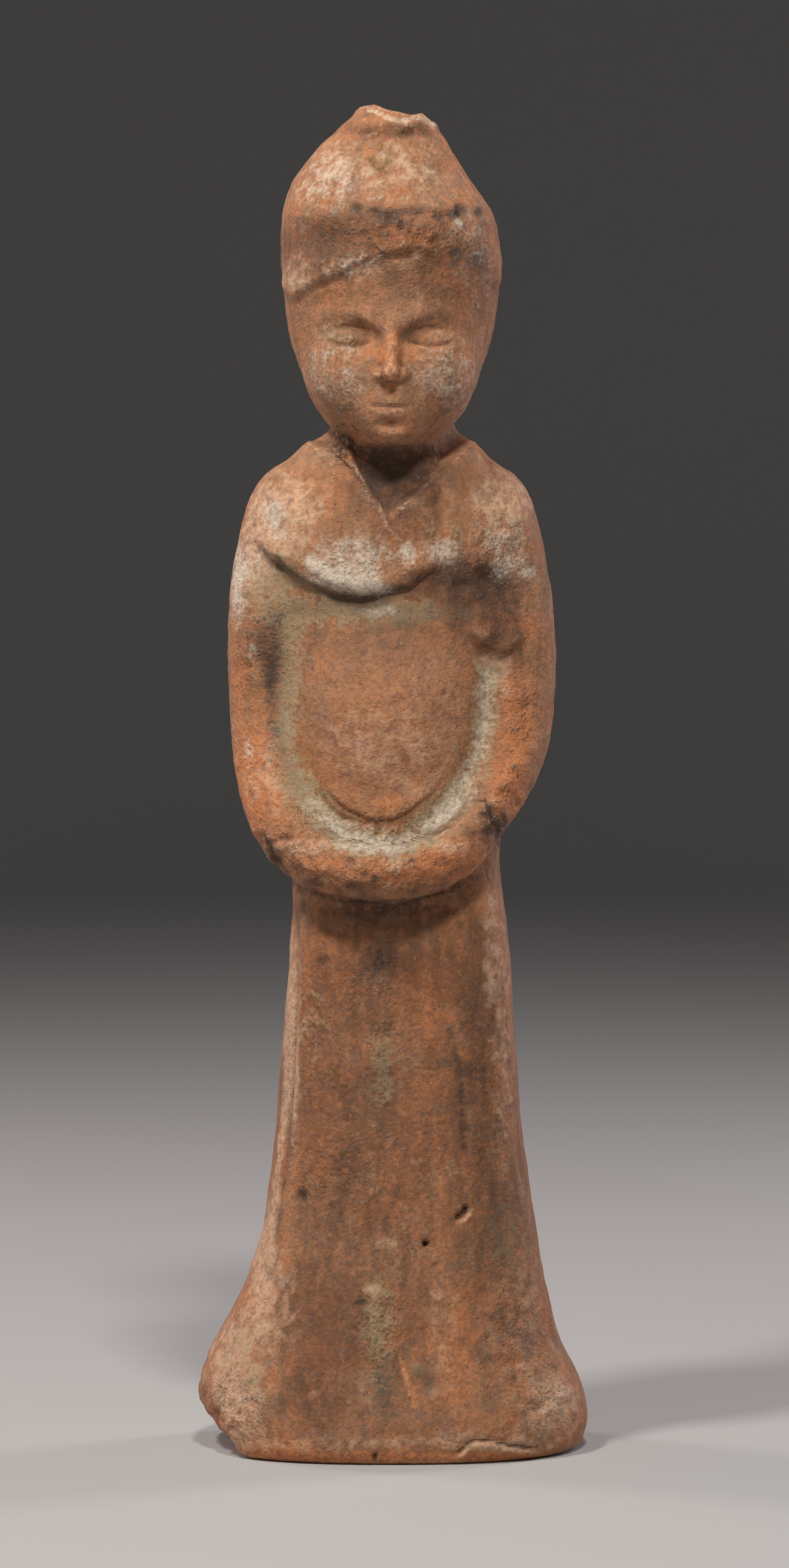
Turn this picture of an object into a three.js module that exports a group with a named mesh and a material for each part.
// A terracotta figure of a court lady, standing with her hands joined inside her sleeves.
// Millimetres, +Z up. The figure faces -Y and the origin is in the middle of the flat underside.
// The clay is one solid: named masses are blended by their distances, and a lathe blank of rings
// and columns is then moved onto the blended surface along rays from the figure's own axis.
import * as THREE from 'three';

// Driving dimensions
const HEIGHT = 300;
const HEM_WIDTH = 87;
const HEM_DEPTH = 60;
const HEAD_WIDTH = 48.6;
const HEAD_DEPTH = 45;
const CHIN_HEIGHT = 224;
const NECK_TOP = 244;
const NAPE_HEIGHT = 234;
const HAIRLINE_HEIGHT = 265;
const HAND_HEIGHT = 130.3;
const HAND_REACH = 22.5;

// Mesh fineness
const COLUMNS = 64;
const RINGS = 78;
const FRONT_PACKING = 0.36;
const RAYS = 260;
const LOW_FOCUS = 16;
const HIGH_FOCUS = 272;
const RING_SMOOTHING = 8;
const ROPE_STEPS = 18;
const QUARTER_SHARE = 0.16;
const RAY_START = 64;
const RAY_STRIDE = 0.75;
const RAY_STRIDES = 90;
const TOUCH = 1e-4;

// Finish
const CLAY_COLOUR = 0xa06a48;
const CLAY_ROUGHNESS = 0.9;

// Robe stations from the hem to the neck: height, half width, half depth, sideways shift, squareness
const ROBE = [
  { z: 0, wide: HEM_WIDTH / 2 - 1.8, deep: HEM_DEPTH / 2 - 1.2, shift: 0, lean: 0, square: 2.3 },
  { z: 7, wide: HEM_WIDTH / 2, deep: HEM_DEPTH / 2, shift: 0.1, lean: 0, square: 2.3 },
  { z: 15, wide: 42.7, deep: 29.2, shift: -0.5, lean: 0, square: 2.2 },
  { z: 24, wide: 38.7, deep: 26.8, shift: -0.9, lean: 0.2, square: 2.3 },
  { z: 36, wide: 34, deep: 24.4, shift: 0.4, lean: 0.4, square: 2.5 },
  { z: 50, wide: 30.6, deep: 22.4, shift: 1.6, lean: 0.5, square: 2.7 },
  { z: 75, wide: 27.4, deep: 20.6, shift: 1.3, lean: 0.5, square: 2.9 },
  { z: 118, wide: 23.9, deep: 18.8, shift: 1.5, lean: 0.6, square: 3 },
  { z: 134, wide: 23.4, deep: 18, shift: 0.4, lean: 0.8, square: 2.7 },
  { z: 160, wide: 27.5, deep: 17.4, shift: 0, lean: 0.8, square: 2.4 },
  { z: 195, wide: 30.2, deep: 16.8, shift: -0.2, lean: 1, square: 2.2 },
  { z: 208, wide: 30.4, deep: 15.8, shift: -0.5, lean: 1, square: 2.1 },
  { z: 216, wide: 26, deep: 14, shift: -0.4, lean: 0.8, square: 2.1 },
  { z: 222, wide: 20.6, deep: 12.4, shift: -0.2, lean: 0.6, square: 2 },
  { z: 229, wide: 14.4, deep: 11.2, shift: 0, lean: 0.4, square: 2 },
  { z: 236, wide: 13, deep: 10.8, shift: 0, lean: 0.4, square: 2 },
  { z: 246, wide: 12.6, deep: 10.6, shift: 0, lean: 0.4, square: 2 },
];

// Hair stations from the temples to the broken topknot
const HAIR = [
  { z: 236, wide: 15.4, deep: 15.6, shift: -0.4, lean: 4.2, square: 2 },
  { z: 246, wide: 21.4, deep: 20.4, shift: -0.4, lean: 2, square: 2 },
  { z: 257, wide: HEAD_WIDTH / 2 - 0.5, deep: HEAD_DEPTH / 2 - 0.4, shift: -0.4, lean: 0.5, square: 2.1 },
  { z: 267, wide: HEAD_WIDTH / 2, deep: HEAD_DEPTH / 2, shift: -0.4, lean: 0, square: 2.1 },
  { z: 276, wide: 23.4, deep: 22.2, shift: -1, lean: 0.2, square: 2.1 },
  { z: 283, wide: 20.3, deep: 19.2, shift: -1.9, lean: 0.4, square: 2 },
  { z: 290, wide: 15.5, deep: 15, shift: -1.9, lean: 0.4, square: 2 },
  { z: 294.5, wide: 12, deep: 12, shift: -1, lean: 0.2, square: 2 },
  { z: 298, wide: 8.6, deep: 9.2, shift: 0, lean: 0, square: 2 },
  { z: HEIGHT + 2, wide: 7.6, deep: 8.4, shift: 0.2, lean: 0, square: 2 },
];

// Sleeve stations from a shoulder to the joined hands, as places along the arm with a clay radius
const SLEEVES = [
  [
    [-24.2, 1, 209, 7.8],
    [-27.6, 0, 195, 8.2],
    [-28.6, -1, 178, 8.1],
    [-28, -3, 162, 7.9],
    [-27, -8, 148.6, 7.6],
    [-23.2, -13.5, 139.4, 7.2],
    [-16.6, -18.4, 133.2, 6.8],
    [-8, -HAND_REACH + 1, HAND_HEIGHT + 0.6, 6.4],
    [0, -HAND_REACH, HAND_HEIGHT, 6.3],
  ],
  [
    [23.2, 1, 209, 7.8],
    [26.2, 0, 195, 8.2],
    [28.3, -1, 178, 8.1],
    [27.9, -3, 163, 8],
    [24.8, -8, 151.8, 7.6],
    [19, -13.5, 143, 7],
    [14.2, -18.2, 136.4, 6.7],
    [8, -HAND_REACH + 1.2, HAND_HEIGHT + 2, 6.5],
    [0, -HAND_REACH, HAND_HEIGHT, 6.3],
  ],
];

const BELLY = { centre: [-0.8, -5, 168], halves: [21.5, 14.2, 27] };

// The hollow that runs between the belly and the forearms
const HOLLOW = [
  [-24, -14.9, 186, 1.2],
  [-24.2, -16.2, 166, 1.8],
  [-22, -17.6, 151.6, 2],
  [-14.8, -19.6, 142.6, 2],
  [-5, -21, 139.4, 2],
  [4, -21, 139.8, 2],
  [12.4, -19.4, 144.4, 2],
  [20, -17, 154.6, 2],
  [22.6, -16, 168, 1.8],
  [22.6, -14.6, 184, 1.2],
];

// Face, by the thirds rule from hairline to chin
const FACE_THIRD = (HAIRLINE_HEIGHT - CHIN_HEIGHT) / 3;
const BROW_HEIGHT = HAIRLINE_HEIGHT - FACE_THIRD;
const NOSE_HEIGHT = CHIN_HEIGHT + FACE_THIRD;
const MOUTH_HEIGHT = CHIN_HEIGHT + FACE_THIRD * 0.62;
const EYE_HEIGHT = BROW_HEIGHT - FACE_THIRD * 0.3;
const EYE_SPREAD = 9;
const FACE_FRONT = -22.4;

// Soft hollows beside the front of the skirt
const SKIRT_FOLDS = [
  [
    [24, -23, 96, 1],
    [25.6, -26.5, 50, 3],
  ],
  [
    [-23, -22, 80, 1],
    [-27, -27, 40, 2.6],
  ],
];

// How far the clay is smoothed where masses meet
const SLEEVE_BLEND = 6;
const BODY_BLEND = 4;
const NECK_BLEND = 3;
const NAPE_ROUNDING = 7;
const HEM_ROUNDING = 2.6;
const BREAK_EDGE = 0.6;

// Breaks and wear
const STUB_BREAK = [
  [-30, 299.6],
  [-6, HEIGHT],
  [-1.5, 298.4],
  [5, 298.1],
  [8, 298.7],
  [30, 298],
];
const BREAK_DISH = 1.6;
const BREAK_DISH_RADIUS = 6.4;
const CORNER_CHIP = { x: -39.2, y: -4, z: 5.2, nx: -0.82, ny: -0.12, nz: -0.56, edge: 1 };

const { clamp, lerp, smoothstep } = THREE.MathUtils;

// Height of one station value, by a cubic through the stations on either side
function along(stations, key, z) {
  const last = stations.length - 1;
  let at = 0;
  while (at < last - 1 && z > stations[at + 1].z) at += 1;
  const value = (i) => stations[i][key] ?? 0;
  const slope = (i) => {
    const below = Math.max(i - 1, 0);
    const above = Math.min(i + 1, last);
    return (value(above) - value(below)) / (stations[above].z - stations[below].z);
  };
  const span = stations[at + 1].z - stations[at].z;
  const t = clamp((z - stations[at].z) / span, 0, 1);
  const rise = t * t * (3 - 2 * t);
  const bend = slope(at) * t * (1 - t) ** 2 - slope(at + 1) * t * t * (1 - t);
  return value(at) + (value(at + 1) - value(at)) * rise + bend * span;
}

// Distance to a body whose level sections are rounded rectangles that change with height
function loft(p, stations) {
  const wide = along(stations, 'wide', p.z);
  const deep = along(stations, 'deep', p.z);
  const square = along(stations, 'square', p.z);
  const across = Math.abs(p.x - along(stations, 'shift', p.z)) / wide;
  const through = Math.abs(p.y - along(stations, 'lean', p.z)) / deep;
  return ((across ** square + through ** square) ** (1 / square) - 1) * Math.min(wide, deep);
}

// Distance to an ellipsoid, close to true near its surface
function egg(p, [x, y, z], [a, b, c]) {
  const k = Math.hypot((p.x - x) / a, (p.y - y) / b, (p.z - z) / c);
  const g = Math.hypot((p.x - x) / (a * a), (p.y - y) / (b * b), (p.z - z) / (c * c));
  return g > 0 ? (k * (k - 1)) / g : -Math.min(a, b, c);
}

// Distance to a rope of clay whose thickness changes from point to point
function rope(p, points) {
  let nearest = Infinity;
  for (let i = 0; i + 1 < points.length; i += 1) {
    const [ax, ay, az, ar] = points[i];
    const [bx, by, bz, br] = points[i + 1];
    const along2 = (bx - ax) ** 2 + (by - ay) ** 2 + (bz - az) ** 2;
    const reach = (p.x - ax) * (bx - ax) + (p.y - ay) * (by - ay) + (p.z - az) * (bz - az);
    const t = clamp(reach / along2, 0, 1);
    const gap = Math.hypot(p.x - ax - (bx - ax) * t, p.y - ay - (by - ay) * t, p.z - az - (bz - az) * t);
    nearest = Math.min(nearest, gap - ar - (br - ar) * t);
  }
  return nearest;
}

// Blend of two masses, and the same for cutting one out of the other
function blend(a, b, reach) {
  const overlap = Math.max(reach - Math.abs(a - b), 0) / reach;
  return Math.min(a, b) - (overlap * overlap * reach) / 4;
}
const carve = (body, tool, reach) => -blend(-body, tool, reach);

// Points of a smooth rope through a few stations, with the radius carried along
function smoothRope(stations, steps) {
  const path = new THREE.CatmullRomCurve3(stations.map(([x, y, z]) => new THREE.Vector3(x, y, z)));
  const last = stations.length - 1;
  return Array.from({ length: steps + 1 }, (_, i) => {
    const place = path.getPoint(i / steps);
    const at = Math.min(Math.floor((i / steps) * last), last - 1);
    const radius = lerp(stations[at][3], stations[at + 1][3], (i / steps) * last - at);
    return [place.x, place.y, place.z, radius];
  });
}
const sleeveRopes = SLEEVES.map((stations) => smoothRope(stations, ROPE_STEPS));
const hollowRope = smoothRope(HOLLOW, ROPE_STEPS);

// Height of the ragged topknot break over a sideways place
function breakHeight(x) {
  const next = STUB_BREAK.findIndex(([place]) => place > x);
  const [x0, z0] = STUB_BREAK[Math.max(next - 1, 0)];
  const [x1, z1] = STUB_BREAK[Math.max(next, 1)];
  return z0 + (z1 - z0) * smoothstep(x, x0, x1);
}

function head(p) {
  const hair = carve(loft(p, HAIR), p.z - NAPE_HEIGHT, NAPE_ROUNDING);
  const cheeks = egg(p, [-0.4, -2.2, 249], [21, 19.6, 21]);
  const jaw = egg(p, [-0.4, -6.4, CHIN_HEIGHT + 13], [15.2, 13.8, 13.2]);
  const chin = egg(p, [-0.4, -15.6, CHIN_HEIGHT + 4.6], [4.6, 4.2, 4.2]);
  let mass = blend(blend(cheeks, jaw, 9), chin, 4);
  const brow = rope(p, [
    [-12.5, -15.2, BROW_HEIGHT - 1, 2.2],
    [-4.5, -18.8, BROW_HEIGHT + 0.6, 2.2],
    [3.7, -18.8, BROW_HEIGHT + 0.6, 2.2],
    [11.7, -15.2, BROW_HEIGHT - 1, 2.2],
  ]);
  mass = blend(mass, brow, 4);
  for (const side of [-1, 1]) {
    const socket = egg(p, [side * EYE_SPREAD - 0.4, -21.6, EYE_HEIGHT + 0.4], [5.6, 3.6, 3]);
    mass = carve(mass, socket, 3);
    const lids = egg(p, [side * EYE_SPREAD - 0.4, -15.3, EYE_HEIGHT], [4.4, 3.4, 2.2]);
    mass = blend(mass, lids, 1.5);
  }
  const nose = rope(p, [
    [-0.4, FACE_FRONT + 2.4, BROW_HEIGHT - 2, 1.4],
    [-0.4, FACE_FRONT - 0.6, NOSE_HEIGHT + 2.4, 2.3],
  ]);
  mass = blend(mass, nose, 2.4);
  const lips = egg(p, [-0.4, -19.4, MOUTH_HEIGHT], [4.6, 1.9, 1.9]);
  return blend(blend(mass, lips, 2), hair, 2.5);
}

// The cape and its lapels lie a little proud of the robe
function cloth(p) {
  const front = smoothstep(-p.y, -4, 4);
  const hem = lerp(192, 191.3 + 0.021 * (p.x + 7) ** 2, front);
  const side = 1 - smoothstep(Math.abs(p.x), 26, 33);
  const cape = 1.5 * side * smoothstep(p.z, hem - 0.8, hem + 1) * smoothstep(228 - p.z, 0, 3);
  const neckline = Math.min((p.x + 14) * 0.96, (13.2 - p.x) * 0.9) + p.z - 221.5;
  return cape - 1.1 * smoothstep(neckline, -0.8, 0.8) * front * smoothstep(p.z, 206, 210);
}

// Distance to the whole figure
function figure(p) {
  let clay = Math.max(loft(p, ROBE), p.z - NECK_TOP);
  clay = blend(clay, egg(p, BELLY.centre, BELLY.halves), BODY_BLEND);
  for (const sleeve of sleeveRopes) clay = blend(clay, rope(p, sleeve), SLEEVE_BLEND);
  clay = carve(clay, rope(p, hollowRope), BODY_BLEND);
  clay -= cloth(p);
  clay = blend(clay, head(p), NECK_BLEND);
  for (const fold of SKIRT_FOLDS) clay = carve(clay, rope(p, fold), BODY_BLEND);
  const chip = CORNER_CHIP;
  const beyond = (p.x - chip.x) * chip.nx + (p.y - chip.y) * chip.ny + (p.z - chip.z) * chip.nz;
  clay = carve(clay, -beyond, chip.edge);
  clay = carve(clay, p.z, HEM_ROUNDING);
  const dish = BREAK_DISH * Math.max(1 - (p.x ** 2 + p.y ** 2) / BREAK_DISH_RADIUS ** 2, 0);
  return carve(clay, breakHeight(p.x) - dish - p.z, BREAK_EDGE);
}

// Outermost place of the clay on a ray that leaves the axis at one step of the profile
function hit(step, turn) {
  const low = Math.min(step / QUARTER_SHARE - 1, 0);
  const high = Math.max((step - 1) / QUARTER_SHARE + 1, 0);
  const tilt = (Math.PI / 2) * (low + high);
  const climb = clamp((step - QUARTER_SHARE) / (1 - 2 * QUARTER_SHARE), 0, 1);
  const start = lerp(LOW_FOCUS, HIGH_FOCUS, climb);
  const out = Math.cos(tilt);
  const aim = new THREE.Vector3(out * Math.sin(turn), -out * Math.cos(turn), Math.sin(tilt));
  const place = new THREE.Vector3();
  let reach = RAY_START;
  for (let i = 0; i < RAY_STRIDES; i += 1) {
    place.set(0, 0, start).addScaledVector(aim, reach);
    const gap = figure(place);
    if (gap < TOUCH || reach <= 0) break;
    reach = Math.max(reach - gap * RAY_STRIDE, 0);
  }
  return place;
}

// How finely the surface is divided between two places: the head and hands take more rings
function fineness(a, b) {
  const z = (a.z + b.z) / 2;
  const underside = Math.max(a.z, b.z) < 0.05 ? 0.14 : 1;
  const hemShare = 1 - smoothstep(z, 3, 12);
  const handShare = smoothstep(z, 112, 122) * (1 - smoothstep(z, 146, 160));
  const chestShare = smoothstep(z, 150, 165);
  const headShare = smoothstep(z, 218, 226) * (1 - smoothstep(z, 268, 280));
  const stubShare = smoothstep(z, 288, 296);
  const low = 1.4 * hemShare + 1.9 * handShare;
  const high = 0.4 * chestShare + 1.3 * headShare + 1.6 * stubShare;
  return underside * (0.55 + low + high);
}

// Profile steps that part one column evenly by the length of its trace
function evenSteps(turn) {
  const trace = Array.from({ length: RAYS + 1 }, (_, i) => hit(i / RAYS, turn));
  const run = [0];
  for (let i = 1; i < trace.length; i += 1) {
    run.push(run[i - 1] + trace[i].distanceTo(trace[i - 1]) * fineness(trace[i - 1], trace[i]));
  }
  let at = 0;
  return Array.from({ length: RINGS + 1 }, (_, ring) => {
    const want = (run[RAYS] * ring) / RINGS;
    while (at < RAYS - 1 && run[at + 1] < want) at += 1;
    return (at + clamp((want - run[at]) / (run[at + 1] - run[at]), 0, 1)) / RAYS;
  });
}

// The same steps for every column, evened out with the columns on both sides so that rings run smoothly
function allSteps(turns) {
  let steps = turns.map(evenSteps);
  for (let pass = 0; pass < RING_SMOOTHING; pass += 1) {
    steps = steps.map((own, i) => {
      const left = steps[(i + COLUMNS - 1) % COLUMNS];
      const right = steps[(i + 1) % COLUMNS];
      return own.map((step, ring) => (left[ring] + 2 * step + right[ring]) / 4);
    });
  }
  return steps;
}

// The blank is turned on a lathe, then each of its columns is laid onto the clay
function courtLady() {
  const blank = [];
  for (let ring = 0; ring <= RINGS; ring += 1) {
    const rise = ring / RINGS;
    blank.push(new THREE.Vector2(Math.sin(Math.PI * rise) * HEM_WIDTH, HEIGHT * rise));
  }
  const geometry = new THREE.LatheGeometry(blank, COLUMNS, Math.PI);
  const places = geometry.attributes.position;
  const turns = Array.from({ length: COLUMNS }, (_, i) => {
    const even = (i / COLUMNS) * 2 * Math.PI - Math.PI;
    return even - FRONT_PACKING * Math.sin(even);
  });
  const steps = allSteps(turns);
  const axisSteps = [0, 1];
  const columns = turns.map((turn, i) => steps[i].map((step) => {
    const place = hit(step, axisSteps.includes(step) ? 0 : turn);
    if (place.z < 0.02) place.z = 0;
    return place;
  }));
  for (let i = 0; i <= COLUMNS; i += 1) {
    columns[i % COLUMNS].forEach((place, ring) => {
      places.setXYZ(i * (RINGS + 1) + ring, place.x, place.y, place.z);
    });
  }
  geometry.computeVertexNormals();
  const finish = { color: CLAY_COLOUR, roughness: CLAY_ROUGHNESS, metalness: 0 };
  const mesh = new THREE.Mesh(geometry, new THREE.MeshStandardMaterial(finish));
  mesh.name = 'court_lady_figure';
  return mesh;
}

const group = new THREE.Group();
group.add(courtLady());
export default group;
